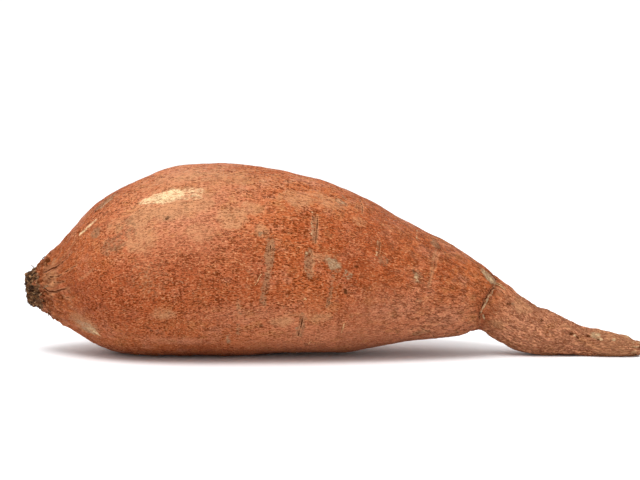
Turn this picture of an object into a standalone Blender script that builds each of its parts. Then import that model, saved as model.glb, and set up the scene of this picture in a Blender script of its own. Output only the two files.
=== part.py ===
"""A sweet potato: one grown root that lies on its side.

+X runs from the blunt cut stem end to the thin tail, +Z is up and z = 0 is the surface that it rests on.
The skin is one closed tube of rings. Each ring joins a crown point to an underside point, so the rings
lean over with the root where it droops to its tail.
"""

import math

import bmesh
import bpy
import numpy as np

# Driving dimensions, in metres
LENGTH = 0.2320  # blunt stem end to tail tip
HEIGHT = 0.0716  # resting surface to the crown of the belly
WIDTH = 0.0775  # across the belly, without its swellings

# Slices through the root, from the stem end to the tail tip: the crown point's x and z, the underside
# point's x and z, the half width and the sideways drift of the middle. Shares of LENGTH for x, of HEIGHT
# for z, and of half WIDTH for the last two. A drift below zero leans towards -Y.
SLICES = (
    (0.000, 0.402, 0.000, 0.289, 0.125, 0.04),  # cut face of the stem stub
    (0.006, 0.428, 0.006, 0.265, 0.170, 0.04),
    (0.020, 0.460, 0.017, 0.245, 0.215, 0.04),
    (0.037, 0.512, 0.037, 0.211, 0.295, 0.04),  # foot of the stub
    (0.058, 0.575, 0.062, 0.162, 0.410, 0.03),
    (0.083, 0.671, 0.090, 0.104, 0.555, 0.03),
    (0.109, 0.758, 0.120, 0.049, 0.695, 0.02),
    (0.145, 0.844, 0.156, 0.010, 0.825, 0.01),
    (0.192, 0.911, 0.200, -0.005, 0.920, 0.00),
    (0.252, 0.985, 0.255, -0.008, 0.980, 0.00),
    (0.310, 1.000, 0.310, -0.007, 1.000, 0.00),  # crown of the belly
    (0.380, 0.983, 0.375, -0.002, 0.985, 0.00),
    (0.450, 0.938, 0.440, 0.006, 0.945, -0.01),
    (0.520, 0.861, 0.505, 0.006, 0.875, -0.01),
    (0.590, 0.749, 0.568, 0.037, 0.780, -0.02),
    (0.655, 0.633, 0.628, 0.072, 0.665, -0.02),
    (0.708, 0.542, 0.680, 0.088, 0.540, -0.03),
    (0.742, 0.466, 0.715, 0.110, 0.425, -0.03),  # shoulder above the waist
    (0.761, 0.417, 0.734, 0.137, 0.335, -0.03),
    (0.770, 0.390, 0.741, 0.142, 0.270, -0.03),  # waist, where the tail begins
    (0.779, 0.371, 0.750, 0.111, 0.275, -0.04),
    (0.797, 0.324, 0.770, 0.075, 0.268, -0.05),
    (0.825, 0.265, 0.800, 0.019, 0.236, -0.07),
    (0.860, 0.207, 0.838, 0.005, 0.205, -0.09),
    (0.905, 0.148, 0.892, 0.001, 0.160, -0.13),
    (0.955, 0.114, 0.948, 0.000, 0.125, -0.18),
    (0.982, 0.088, 0.980, 0.002, 0.095, -0.21),
    (1.000, 0.060, 1.000, 0.018, 0.050, -0.22),  # blunt tail tip
)

# Broad swellings and hollows: share of the way along, angle round from the crown towards -Y in degrees,
# reach in metres and height in metres (a hollow is below zero).
LUMPS = (
    (0.16, 20, 0.016, 0.0008),
    (0.24, 235, 0.022, 0.0016),
    (0.33, 105, 0.030, 0.0009),
    (0.37, 300, 0.012, -0.0012),
    (0.45, 250, 0.026, -0.0013),
    (0.52, 50, 0.018, 0.0006),
    (0.58, 285, 0.020, 0.0014),
    (0.66, 230, 0.014, -0.0010),
    (0.70, 110, 0.012, 0.0007),
    (0.86, 60, 0.007, 0.0005),
    (0.91, 270, 0.006, -0.0006),
)

RINGS_PER_SLICE = 3
POINTS_PER_RING = 40

SKIN_COLOUR = (0.42, 0.13, 0.045, 1.0)
SKIN_ROUGHNESS = 0.62


def clear_scene():
    for old in list(bpy.data.objects):
        bpy.data.objects.remove(old, do_unlink=True)


def limited_slopes(knots, values):
    """Slopes of a cubic through the values that never overshoots them."""
    steps = np.diff(knots)
    secants = np.diff(values) / steps
    slopes = np.zeros_like(values)
    slopes[0] = secants[0]
    slopes[-1] = secants[-1]
    for i in range(1, len(values) - 1):
        before = secants[i - 1]
        after = secants[i]
        if before * after > 0:
            weight_before = 2 * steps[i] + steps[i - 1]
            weight_after = steps[i] + 2 * steps[i - 1]
            slopes[i] = (weight_before + weight_after) / (weight_before / before + weight_after / after)
    return slopes


def smooth_through(knots, values, at):
    """Read a smooth curve through (knots, values) at each place in at."""
    slopes = limited_slopes(knots, values)
    left = np.clip(np.searchsorted(knots, at, side="right") - 1, 0, len(knots) - 2)
    step = knots[left + 1] - knots[left]
    t = (at - knots[left]) / step
    return (
        (2 * t**3 - 3 * t**2 + 1) * values[left]
        + (t**3 - 2 * t**2 + t) * step * slopes[left]
        + (3 * t**2 - 2 * t**3) * values[left + 1]
        + (t**3 - t**2) * step * slopes[left + 1]
    )


def scaled_slices():
    """The slice table in metres."""
    scale = np.array((LENGTH, HEIGHT, LENGTH, HEIGHT, WIDTH / 2, WIDTH / 2))
    return np.array(SLICES) * scale


def ring_columns():
    """Every ring's slice values and its share of the way along the root's middle."""
    slices = scaled_slices()
    middles = (slices[:, 0:2] + slices[:, 2:4]) / 2
    knots = np.concatenate(([0.0], np.cumsum(np.linalg.norm(np.diff(middles, axis=0), axis=1))))
    count = (len(slices) - 1) * RINGS_PER_SLICE + 1
    places = np.interp(np.arange(count) / RINGS_PER_SLICE, np.arange(len(slices)), knots)
    columns = [smooth_through(knots, slices[:, k], places) for k in range(slices.shape[1])]
    return np.array(columns).T, places / knots[-1]


def ring_points(column):
    """The points round one ring, from the crown down the -Y side, and their outward directions."""
    crown_x, crown_z, under_x, under_z, half_width, drift = column
    middle = np.array(((crown_x + under_x) / 2, drift, (crown_z + under_z) / 2))
    up = np.array(((crown_x - under_x) / 2, 0.0, (crown_z - under_z) / 2))
    side = np.array((0.0, -half_width, 0.0))
    angles = np.arange(POINTS_PER_RING) * 2 * math.pi / POINTS_PER_RING
    offsets = np.outer(np.cos(angles), up) + np.outer(np.sin(angles), side)
    outward = offsets / np.linalg.norm(offsets, axis=1)[:, None]
    return middle + offsets, outward, angles


def lump_heights(angles, share, half_round):
    """How far the broad swellings and hollows move the skin, at each angle round one ring."""
    heights = np.zeros_like(angles)
    for along, degrees, reach, rise in LUMPS:
        turn = (angles - math.radians(degrees) + math.pi) % (2 * math.pi) - math.pi
        distance_sq = (turn * half_round) ** 2 + ((share - along) * LENGTH) ** 2
        heights += rise * np.exp(-distance_sq / (2 * reach**2))
    return heights


def skin_rings():
    """All rings as an array of points, pressed flat where they would sink below the surface."""
    columns, shares = ring_columns()
    rings = np.empty((len(columns), POINTS_PER_RING, 3))
    for ring, column, share in zip(rings, columns, shares):
        points, outward, angles = ring_points(column)
        half_round = np.linalg.norm(points - points.mean(axis=0), axis=1).mean()
        ring[:] = points + outward * lump_heights(angles, share, half_round)[:, None]
    rings[:, :, 2] = np.maximum(rings[:, :, 2], 0.0)
    return rings


def centred(rings):
    """Put the middle of the root's box over the origin."""
    points = rings.reshape(-1, 3)
    middle = (points.min(axis=0) + points.max(axis=0)) / 2
    return rings - np.array((middle[0], middle[1], 0.0))


def skin_mesh(rings):
    bm = bmesh.new()
    loops = [[bm.verts.new(point) for point in ring] for ring in rings]
    for here, there in zip(loops, loops[1:]):
        for i in range(POINTS_PER_RING):
            j = (i + 1) % POINTS_PER_RING
            bm.faces.new((here[i], here[j], there[j], there[i]))
    bm.faces.new(loops[0])
    bm.faces.new(loops[-1])
    bmesh.ops.recalc_face_normals(bm, faces=bm.faces)
    mesh = bpy.data.meshes.new("sweet_potato")
    bm.to_mesh(mesh)
    bm.free()
    mesh.shade_smooth()
    return mesh


def skin_material():
    material = bpy.data.materials.new("skin")
    material.use_nodes = True
    shader = material.node_tree.nodes["Principled BSDF"]
    shader.inputs["Base Color"].default_value = SKIN_COLOUR
    shader.inputs["Roughness"].default_value = SKIN_ROUGHNESS
    shader.inputs["Metallic"].default_value = 0.0
    return material


def main():
    clear_scene()
    mesh = skin_mesh(centred(skin_rings()))
    root = bpy.data.objects.new("sweet_potato", mesh)
    root.data.materials.append(skin_material())
    bpy.context.scene.collection.objects.link(root)


main()
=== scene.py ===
"""The looks of the sweet potato: a dense skin over the CAD root, its marks, root hairs, light and camera."""

import math
import random

import bmesh
import bpy
import numpy as np
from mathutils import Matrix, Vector, noise
from mathutils.bvhtree import BVHTree
from numpy.linalg import norm


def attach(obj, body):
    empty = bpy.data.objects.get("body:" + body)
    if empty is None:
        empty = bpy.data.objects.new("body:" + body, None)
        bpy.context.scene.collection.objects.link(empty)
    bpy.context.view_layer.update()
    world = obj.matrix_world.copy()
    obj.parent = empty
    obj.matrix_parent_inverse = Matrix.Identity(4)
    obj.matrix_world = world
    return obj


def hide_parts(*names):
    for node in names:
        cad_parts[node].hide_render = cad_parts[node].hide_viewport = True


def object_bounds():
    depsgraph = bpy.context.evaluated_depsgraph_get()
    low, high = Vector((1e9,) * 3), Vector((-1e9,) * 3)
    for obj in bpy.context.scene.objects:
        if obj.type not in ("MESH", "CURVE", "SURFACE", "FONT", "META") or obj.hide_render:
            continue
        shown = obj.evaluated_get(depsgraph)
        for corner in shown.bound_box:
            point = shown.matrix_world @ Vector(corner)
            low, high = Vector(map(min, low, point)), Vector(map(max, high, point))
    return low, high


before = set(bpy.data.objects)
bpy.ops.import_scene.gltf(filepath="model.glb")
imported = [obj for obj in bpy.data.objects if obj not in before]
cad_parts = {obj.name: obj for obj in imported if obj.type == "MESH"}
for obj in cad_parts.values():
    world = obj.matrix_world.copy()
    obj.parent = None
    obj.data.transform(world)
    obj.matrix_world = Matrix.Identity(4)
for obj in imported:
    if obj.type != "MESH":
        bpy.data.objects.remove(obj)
CAD_LOW, CAD_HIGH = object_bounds()

NODE = "sweet_potato"
MM = 0.001

# The skin's grid: rings along the root, points round each, and rings that close the ends
RINGS = 450
AROUND = 208
STEM_CAP_RINGS = 18
TAIL_CAP_RINGS = 8
SEAM_ANGLE = math.radians(215)  # from the crown towards -Y, so the seam lies low at the back

# The camera, level with the root's side and slightly above it.
CAMERA_AIM = Vector((-4.7, 0.0, 42.9)) * MM
CAMERA_ELEVATION = math.radians(6)
CAMERA_DISTANCE = 0.9
CAMERA_LENS = 134.6


def camera_place():
    back = Vector((0.0, -math.cos(CAMERA_ELEVATION), math.sin(CAMERA_ELEVATION)))
    return CAMERA_AIM + back * CAMERA_DISTANCE


# -------------------- the smooth skin under the marks

FAR = 0.2  # well outside the root
MIDDLE_SAMPLES = 300
FIRST_MIDDLE = (0.0, 24 * MM)  # a first guess at the y and z of the stem end's middle
MIDDLE_TRIES = 2
MIDDLE_BLUR = 9  # samples
DIRECTION_BLUR = 6  # rings
RADIUS_BLUR = 2.2 * MM  # along the root
RADIUS_BLUR_COLUMNS = AROUND / 58
STEM_CAP_DEPTH = 1.2 * MM  # how far each end bulges past the middle line's end
TAIL_CAP_DEPTH = 1.6 * MM


def unit(vectors):
    return vectors / norm(vectors, axis=-1, keepdims=True)


def running_total(steps):
    return np.concatenate(([0.0], np.cumsum(steps)))


def read_between(at, knots, rows):
    """Rows of coordinates at the knots, read at places between them."""
    return np.column_stack([np.interp(at, knots, rows[:, k]) for k in range(3)])


def spokes(angles, first, second):
    """Directions round each ring: its first axis at angle 0, its second at a quarter turn."""
    cosines = np.cos(angles)[None, :, None] * first[:, None, :]
    return cosines + np.sin(angles)[None, :, None] * second[:, None, :]


def facing(place, aim):
    """The turn that points a lamp or the camera at its aim."""
    return (Vector(aim) - Vector(place)).to_track_quat("-Z", "Y").to_euler()


def cad_tree():
    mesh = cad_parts[NODE].data
    corners = [v.co for v in mesh.vertices]
    return BVHTree.FromPolygons(corners, [p.vertices for p in mesh.polygons])


def blurred(values, sigma, axis, wrap):
    """Gaussian blur along one axis, which wraps round or keeps its end values."""
    reach = int(math.ceil(3 * sigma))
    offsets = np.arange(-reach, reach + 1)
    weights = np.exp(-(offsets**2) / (2 * sigma**2))
    weights /= weights.sum()
    pads = [(0, 0)] * values.ndim
    pads[axis] = (reach, reach)
    padded = np.moveaxis(np.pad(values, pads, mode="wrap" if wrap else "edge"), axis, 0)
    count = values.shape[axis]
    result = sum(weight * padded[i : i + count] for i, weight in enumerate(weights))
    return np.moveaxis(result, 0, axis)


def middle_at(tree, x, guess):
    """The middle of the root's slice at x, seen from above, below and both sides."""
    y, z = guess
    for _ in range(MIDDLE_TRIES):
        top = tree.ray_cast(Vector((x, y, FAR)), Vector((0, 0, -1)))[0]
        under = tree.ray_cast(Vector((x, y, -FAR)), Vector((0, 0, 1)))[0]
        z = (top.z + under.z) / 2
        front = tree.ray_cast(Vector((x, -FAR, z)), Vector((0, 1, 0)))[0]
        back = tree.ray_cast(Vector((x, FAR, z)), Vector((0, -1, 0)))[0]
        y = (front.y + back.y) / 2
    return y, z


def centreline(tree):
    """Even points down the root's middle, their directions and distances from the stem end."""
    xs = np.linspace(CAD_LOW.x + STEM_CAP_DEPTH, CAD_HIGH.x - TAIL_CAP_DEPTH, MIDDLE_SAMPLES)
    guess = FIRST_MIDDLE
    rows = []
    for x in xs:
        guess = middle_at(tree, x, guess)
        rows.append((x, *guess))
    rows = np.array(rows)
    rows[:, 1:] = blurred(rows[:, 1:], MIDDLE_BLUR, 0, False)
    travel = running_total(norm(np.diff(rows, axis=0), axis=1))
    even = np.linspace(0, travel[-1], RINGS)
    points = read_between(even, travel, rows)
    ahead = unit(blurred(np.gradient(points, axis=0), DIRECTION_BLUR, 0, False))
    return points, ahead, even


def ring_axes(ahead):
    """For each ring, the direction of its crown and of its -Y side, square to the root's middle line."""
    up = unit(np.cross(np.array((0.0, -1.0, 0.0)), ahead))
    return up, np.cross(ahead, up)


def skin_radii(tree, points, directions):
    """How far the CAD root's surface lies from its middle, in every direction of every ring."""
    radii = np.zeros(directions.shape[:2])
    for i, point in enumerate(points):
        origin = Vector(point)
        for j in range(AROUND):
            hit = tree.ray_cast(origin, Vector(directions[i, j]))
            radii[i, j] = hit[3]
    return radii


def capped(rings, points, ahead, count, depth):
    """Rings that close one end, from its rim to its middle, bulging by depth."""
    caps = []
    for k in range(1, count + 1):
        share = k / count
        turn = share * math.pi / 2
        caps.append(points + (rings - points) * math.cos(turn) + ahead * depth * math.sin(turn))
    return caps


def smooth_skin():
    """The grid of skin points, each ring's distance along the root and each column's angle."""
    tree = cad_tree()
    points, ahead, along = centreline(tree)
    up, side = ring_axes(ahead)
    angles = SEAM_ANGLE + np.arange(AROUND) * 2 * math.pi / AROUND
    directions = spokes(angles, up, side)
    radii = skin_radii(tree, points, directions)
    radii = blurred(radii, RADIUS_BLUR / (along[1] - along[0]), 0, False)
    radii = blurred(radii, RADIUS_BLUR_COLUMNS, 1, True)
    grid = points[:, None, :] + directions * radii[:, :, None]
    stem = capped(grid[0], points[0], -ahead[0], STEM_CAP_RINGS, STEM_CAP_DEPTH)
    tail = capped(grid[-1], points[-1], ahead[-1], TAIL_CAP_RINGS, TAIL_CAP_DEPTH)
    grid = np.concatenate((np.array(stem[::-1]), grid, np.array(tail)))
    along = np.concatenate((np.zeros(STEM_CAP_RINGS), along, np.full(TAIL_CAP_RINGS, along[-1])))
    return tree, grid, along, angles


def grid_normals(grid):
    """Outward directions at every point of the skin grid."""
    along = np.gradient(grid, axis=0)
    around = np.roll(grid, -1, axis=1) - np.roll(grid, 1, axis=1)
    normals = np.cross(around, along)
    normals[0] = normals[1].mean(axis=0)
    normals[-1] = normals[-2].mean(axis=0)
    return unit(normals)


# -------------------- painting marks on the skin

LAYERS = (
    "rosy_light", "brick", "wrinkled", "scaly", "tan", "rust_and_shade", "grey", "beige", "pale", "dark", "crack", "stem"
)
CRACK_REACH = 1.2 * MM  # how far from a crack its painted weight falls to nothing
NOISE_SHIFT = Vector((17.3, 5.9, 11.7))  # how far apart the noises of neighbouring seeds are read
RAGGED_SIZE = 2.4 * MM  # bumps of the noise that breaks up painted edges
RAGGED_SEED = 3
PATCH_RAGGED = 0.25
TRAIL_SOFT = 0.6
TURN_REACH = 20 * MM  # the distance that one radian of turn counts for in a search


def rising(low, high, values):
    """0 below low, 1 above high and a smooth step between."""
    t = np.clip((values - low) / (high - low), 0, 1)
    return t * t * (3 - 2 * t)


def noise_field(points, size, seed, octaves=3):
    """Smooth noise, about -1 to 1, with bumps of the given size in metres."""
    shift = NOISE_SHIFT * seed
    scale = 1 / np.asarray(size)
    return np.array([noise.fractal(Vector(p) + shift, 1.0, 2.0, octaves) for p in points * scale])


class Skin:
    """The skin's points and normals, how far each is moved outward, and its painted layers."""

    def __init__(self):
        self.tree, self.grid, along, angles = smooth_skin()
        self.rings = self.grid.shape[0]
        self.points = self.grid.reshape(-1, 3)
        self.normals = grid_normals(self.grid).reshape(-1, 3)
        self.along = np.repeat(along, AROUND)
        self.angles = np.tile(angles, self.rings)
        self.length = along[-1]
        self.lift = np.zeros(len(self.points))
        self.layers = {name: np.zeros(len(self.points)) for name in LAYERS}
        self.grain = self.straightened(along, angles)
        self.ragged = noise_field(self.points, RAGGED_SIZE, RAGGED_SEED)

    def straightened(self, along, angles):
        """Where each point would be on a straight root, with its grain along X."""
        middles = self.grid.mean(axis=1)
        radii = norm(self.grid - middles[:, None, :], axis=2).mean(axis=1)
        even_radius = np.sqrt(radii * radii.max())
        straight = np.zeros_like(self.grid)
        straight[:, :, 0] = along[:, None]
        straight[:, :, 1] = even_radius[:, None] * np.sin(angles)[None, :]
        straight[:, :, 2] = even_radius[:, None] * np.cos(angles)[None, :]
        return straight.reshape(-1, 3)

    def seen(self, along_mm, height_mm):
        """The skin point that the camera sees at a distance from the stem end and a height."""
        target = Vector((CAD_LOW.x + along_mm * MM, 0, height_mm * MM))
        origin = camera_place()
        hit = self.tree.ray_cast(origin, (target - origin).normalized())[0]
        return np.array(hit) if hit else self.points[self.nearest(target)]

    def at_angle(self, along_mm, degrees):
        """The skin point at a distance along the root and an angle from its crown towards -Y."""
        ring = np.abs(self.along - along_mm * MM)
        turn = np.abs((self.angles - math.radians(degrees) + math.pi) % (2 * math.pi) - math.pi)
        return self.points[np.argmin(ring + turn * TURN_REACH)]

    def nearest(self, point):
        return int(np.argmin(((self.points - np.array(point)) ** 2).sum(axis=1)))

    def patch(self, spot, length, width, turn=0, soft=0.35):
        """1 inside an oval patch of skin, whose length runs along the root at turn 0."""
        normal = self.normals[self.nearest(spot)]
        lengthwise = unit(np.array((1.0, 0.0, 0.0)) - normal * normal[0])
        crosswise = np.cross(normal, lengthwise)
        angle = math.radians(turn)
        offset = self.points - spot
        u = offset @ (lengthwise * math.cos(angle) + crosswise * math.sin(angle))
        v = offset @ (crosswise * math.cos(angle) - lengthwise * math.sin(angle))
        depth = offset @ normal
        reach = np.sqrt((2 * u / (length * MM)) ** 2 + (2 * v / (width * MM)) ** 2)
        reach += PATCH_RAGGED * self.ragged
        near = np.abs(depth) < max(length, width) * MM
        return (1 - rising(1 - soft, 1 + soft, reach)) * near

    def gap_to(self, spots):
        """How far every skin point is from a line through the spots."""
        nearest_sq = np.full(len(self.points), np.inf)
        for start, end in zip(spots, spots[1:]):
            run = end - start
            share = np.clip(((self.points - start) @ run) / (run @ run), 0, 1)
            gap = self.points - start - share[:, None] * run
            nearest_sq = np.minimum(nearest_sq, (gap**2).sum(axis=1))
        return np.sqrt(nearest_sq)

    def trail(self, spots, width, ragged=0.3):
        """1 on a line through the spots and 0 away from it."""
        reach = 2 * self.gap_to(spots) / (width * MM) + ragged * self.ragged
        return 1 - rising(1 - TRAIL_SOFT, 1 + TRAIL_SOFT, reach)

    def crack(self, spots):
        """1 on a line through the spots, falling evenly to 0. The material draws only its crest: a dark line
        with a painted highlight along each side.
        """
        return np.clip(1 - self.gap_to(spots) / CRACK_REACH, 0, 1)

    def paint(self, layer, weight, strength=1.0):
        self.layers[layer] = np.maximum(self.layers[layer], weight * strength)

    def raise_by(self, weight, height_mm):
        self.lift += weight * height_mm * MM


# -------------------- the skin's own unevenness

TAIL_START = 178 * MM  # where the tail leaves the body, along the root's middle line

# Where a zone of the skin fades in or out along the root, from the stem end
STUB_END = (2.5 * MM, 6.5 * MM)
COLLAR_END = (7 * MM, 14 * MM)
STEM_WRINKLES_END = (9 * MM, 30 * MM)
ROSY_LIGHT_START = (60 * MM, 120 * MM)
TAIL_WRINKLES_START = (TAIL_START - 75 * MM, TAIL_START - 25 * MM)
TAIL_RIDGES_START = (TAIL_START - 30 * MM, TAIL_START)
ROSY_LIGHT_TAIL_START = (TAIL_START - 6 * MM, TAIL_START + 10 * MM)
SCALY_TAIL_START = (TAIL_START - 2 * MM, TAIL_START + 4 * MM)
TIP_START = (4.5 * MM, 1.5 * MM)  # from the tail's end
UNDERSIDE = (math.radians(92), math.radians(132))  # from the crown, either way round

# Relief by noise: the size of its bumps in mm, its seed, its octaves and its height in mm
BROAD_RELIEF = ((25, 1, 3, 0.5), (9, 2, 3, 0.22))
GRIT = (((3.4, 1.8, 1.8), 4, 3, 0.10),)
TAIL_RELIEF = (((9, 5, 5), 7, 3, 0.6), (3.2, 15, 2, 0.22))
COLLAR_RELIEF = ((4.0, 8, 2, 0.8),)
STUB_RELIEF = ((1.5, 12, 2, 0.7),)
TIP_RELIEF = ((1.8, 9, 3, 0.35),)
CRUMB_SIZE = 1.2 * MM
CRUMB_SEED = 13

# Ridges that run along the root: their length and width in mm and their seed
STEM_RIDGES = ((12, 2.8), 5)
TAIL_RIDGES = ((5, 1.6), 6)
COLLAR_RIDGES = ((6, 1.4), 14)
RIDGE_SHARPNESS = 3.2


def add_relief(skin, points, relief, where=1.0):
    for size_mm, seed, octaves, height in relief:
        skin.raise_by(noise_field(points, np.array(size_mm) * MM, seed, octaves) * where, height)


def creased(skin, size_mm, seed):
    """Ridges along the root, 1 on their tops and 0 in the sharp creases between them."""
    size = np.array((size_mm[0], size_mm[1], size_mm[1])) * MM
    return np.minimum(np.abs(noise_field(skin.grain, size, seed, 2)) * RIDGE_SHARPNESS, 1)


def add_unevenness(skin):
    """Broad swellings, dimples and fine grit all over."""
    add_relief(skin, skin.points, BROAD_RELIEF)
    add_relief(skin, skin.grain, GRIT)


def add_wrinkles(skin):
    """Lengthwise wrinkles that gather at the stem and run on down the tail."""
    near_stem = 1 - rising(*STEM_WRINKLES_END, skin.along)
    near_tail = rising(*TAIL_RIDGES_START, skin.along)
    on_tail = rising(*SCALY_TAIL_START, skin.along)
    towards_tail = rising(*TAIL_WRINKLES_START, skin.along)
    ridges = creased(skin, *STEM_RIDGES)
    skin.raise_by((ridges - 0.7) * near_stem, 0.8)
    skin.raise_by((creased(skin, *TAIL_RIDGES) - 0.7) * near_tail, 0.25)
    add_relief(skin, skin.grain, TAIL_RELIEF, on_tail)
    # darker brown in the creases between the ridges near the stem
    skin.paint("rust_and_shade", (1 - ridges) * near_stem, 0.8)
    skin.paint("wrinkled", np.maximum(near_stem * 0.7, towards_tail * (1 - on_tail)))
    skin.paint("scaly", on_tail)


def paint_rosy_light_below_and_on_tail(skin):
    """Painted light: the skin is made lighter and rosier below, where the white floor throws light back,
    past the stem half, and on the tail.
    """
    from_crown = np.abs((skin.angles + math.pi) % (2 * math.pi) - math.pi)
    past_stem_half = 0.2 + 0.8 * rising(*ROSY_LIGHT_START, skin.along)
    skin.paint("rosy_light", rising(*UNDERSIDE, from_crown) * past_stem_half, 0.65)
    skin.paint("rosy_light", rising(*ROSY_LIGHT_TAIL_START, skin.along))


def add_rough_ends(skin):
    """The torn stub at the stem end and the broken tail tip."""
    stub = 1 - rising(*STUB_END, skin.along + skin.ragged * 3 * MM)
    collar = 1 - rising(*COLLAR_END, skin.along + skin.ragged * 4 * MM)
    tip_start, tip_end = (skin.length - distance for distance in TIP_START)
    tip = rising(tip_start, tip_end, skin.along + skin.ragged * 1.5 * MM)
    crumbs = noise_field(skin.points, CRUMB_SIZE, CRUMB_SEED, 2)
    skin.raise_by(stub, -0.6)
    add_relief(skin, skin.points, COLLAR_RELIEF, collar)
    add_relief(skin, skin.points, STUB_RELIEF, stub)
    skin.raise_by((creased(skin, *COLLAR_RIDGES) - 0.5) * collar, 0.5)
    add_relief(skin, skin.points, TIP_RELIEF, tip)
    skin.paint("scaly", collar)
    skin.paint("rust_and_shade", collar, 0.55)
    skin.paint("dark", collar * rising(0.15, 0.45, crumbs), 0.8)
    skin.paint("beige", collar * rising(0.15, 0.45, -crumbs), 0.7)
    skin.paint("stem", stub)
    skin.paint("pale", tip * rising(-0.1, 0.2, crumbs), 0.55)
    skin.paint("dark", tip * rising(0.2, 0.4, -crumbs), 0.7)


# -------------------- the marks that the camera sees

# A spot is (mm from the stem end, mm up) in the upright plane through the root's middle.
# Drifts, soft and broad: layer, spot, length, width, turn in degrees, strength, the sizes in mm.
SEEN_DRIFTS = (
    # painted light on the upper left and the crown, where the light from above falls
    ("rosy_light", (56, 50), 46, 34, 0, 0.8),
    ("rosy_light", (70, 59.5), 36, 16, 0, 0.6),
    ("rosy_light", (61, 68.5), 30, 20, 0, 0.75),
    # painted bounce light from the floor, low on the side
    ("rosy_light", (157, 12), 24, 14, 0, 0.8),
    # a painted reflection along the lower-left rim
    ("rosy_light", (9, 15.5), 22, 5, -32, 1),
    ("brick", (34, 22), 58, 30, 0, 0.78),
    ("brick", (58, 27), 38, 28, 0, 0.7),
    ("brick", (88, 33), 20, 28, 0, 0.6),
    ("brick", (129, 35), 42, 34, 0, 0.7),
    ("brick", (108, 44), 32, 22, 0, 0.45),
    ("brick", (153, 35), 16, 20, 0, 0.5),
    # painted bounce light from the floor along the lower side
    ("rosy_light", (84, 14.5), 38, 9, 0, 0.6),
    ("rosy_light", (138, 16), 30, 14, 0, 0.9),
    ("rosy_light", (58, 4.5), 30, 5, 0, 0.8),
    ("rust_and_shade", (24, 20), 44, 20, -20, 0.55),
    # tan skin on the crown, made lighter still as a painted highlight
    ("tan", (70, 67), 54, 16, 0, 0.75),
    ("tan", (224, 6), 22, 12, 0, 0.8),
)

# Swellings and dips: spot, length, width, turn in degrees, height, all but the turn in mm.
SEEN_SWELLINGS = (
    ((198.6, 15.4), 8, 12, 0, 0.5),
    ((193, 18), 5, 10, 0, -0.35),
    ((182, 26), 8, 8, 0, 0.4),
    ((220.5, 8), 14, 10, 0, 0.7),
    ((8.4, 34.9), 3.4, 3, 20, 0.6),
    ((28, 51), 7, 3, 20, 0.25),
)

# Patches in order from the stem end: spot, length, width, strength, and where they aren't 0 the turn in
# degrees and the height, the sizes in mm.
TAN_SPOTS = (  # smooth lighter skin
    ((9.6, 28.4), 8, 14, 1.2),
    ((22.4, 10.8), 14, 9, 0.95, 6),
    ((34.2, 48.6), 8, 7, 0.6),
    ((43.6, 43.2), 14, 11, 0.75),
    ((45, 52), 14, 10, 0.95, 20),
    ((52, 14.8), 10, 5, 0.75),
    ((54, 59.3), 28, 13, 0.55, 10),
    ((57, 54.3), 22, 9, 0.95, 4),
    ((66.5, 45.8), 12, 8, 0.55),
    ((67, 58), 9, 13, 0.8),
    ((78.5, 51.6), 12, 10, 0.9),
    ((85.8, 54.9), 10, 6.5, 0.8),
    ((89.5, 46.2), 5.5, 5.5, 0.85, 0, 0.1),
    ((97, 11.7), 9, 5.5, 0.85, 0, 0.05),
    ((103, 58.6), 14, 9, 0.75, -8),
    ((111, 36.9), 9, 3, 0.7, -10),
    ((111.7, 13.3), 9, 4.5, 0.7),
    ((113.5, 58.1), 16, 9, 0.7, -14),
    ((126, 50.1), 7, 5, 0.6, -20),
    ((178.2, 10.8), 6, 4, 0.7),
    ((187.5, 17.7), 8, 6, 0.85, -20),
    ((205, 9.9), 5, 2.8, 0.8, -20, 0.1),
)
GREY_SPOTS = (  # weathered skin, upright scars and the rims of eyes
    ((16.5, 21.8), 7, 6, 0.5),
    ((26.7, 45.9), 4.5, 5.5, 1, 60),
    ((33.5, 41), 12, 7, 0.75, 10),
    ((39, 47.8), 11, 10, 0.62),
    ((46.5, 28.3), 17, 17, 0.42),
    ((53.8, 51.2), 4.2, 3.4, 0.75),
    ((92.4, 38), 12, 4, 1.15, 90, -0.08),
    ((107.4, 33.7), 12, 3.9, 0.95, 90, -0.12),
    ((109.4, 47.7), 14, 3, 0.95, 90, -0.12),
    ((116.6, 33.6), 8.4, 5.6, 0.85, -42),
    ((120.9, 23.2), 3, 4, 0.6),
    ((126.5, 55.1), 5, 4, 0.6, -30),
    ((135.4, 35.2), 4.5, 4.5, 0.75, 0, -0.1),
    ((147.8, 29.1), 5, 7.5, 0.75, 15),
    ((148.4, 19.8), 3, 3, 0.6),
    ((149.6, 7.9), 8, 4, 0.8, 10),
    ((154.8, 41.2), 4.8, 5.4, 1.1, 0, 0.1),
)
RUST_SPOTS = (  # stains
    ((152.6, 29), 1.6, 1.6, 0.8),
    ((154, 34.4), 1.6, 1.4, 0.8),
    ((162.6, 39.2), 5, 4, 0.6),
    ((170.6, 19.3), 5, 12, 0.35, -24),
    ((173.5, 13.3), 3.4, 8, 0.6, -12),
    ((177, 30.3), 7, 4, 1, -35),
)
BEIGE_SPOTS = (  # dry scabs
    ((23.4, 10), 11, 6.5, 0.85, 6),
    ((88.8, 45.1), 2.4, 2, 0.9, 30),
    ((116.4, 33.8), 5.8, 3.4, 1.3, -42, 0.08),
    ((119.5, 57.4), 5.5, 3, 0.9, -20),
    ((121.6, 29.7), 5, 3, 0.75, -50),
    ((175.4, 28.6), 9, 5.4, 1.4, -14, 0.12),
    ((184.4, 18.7), 2, 1.4, 0.8, 0, 0.05),
)
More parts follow.
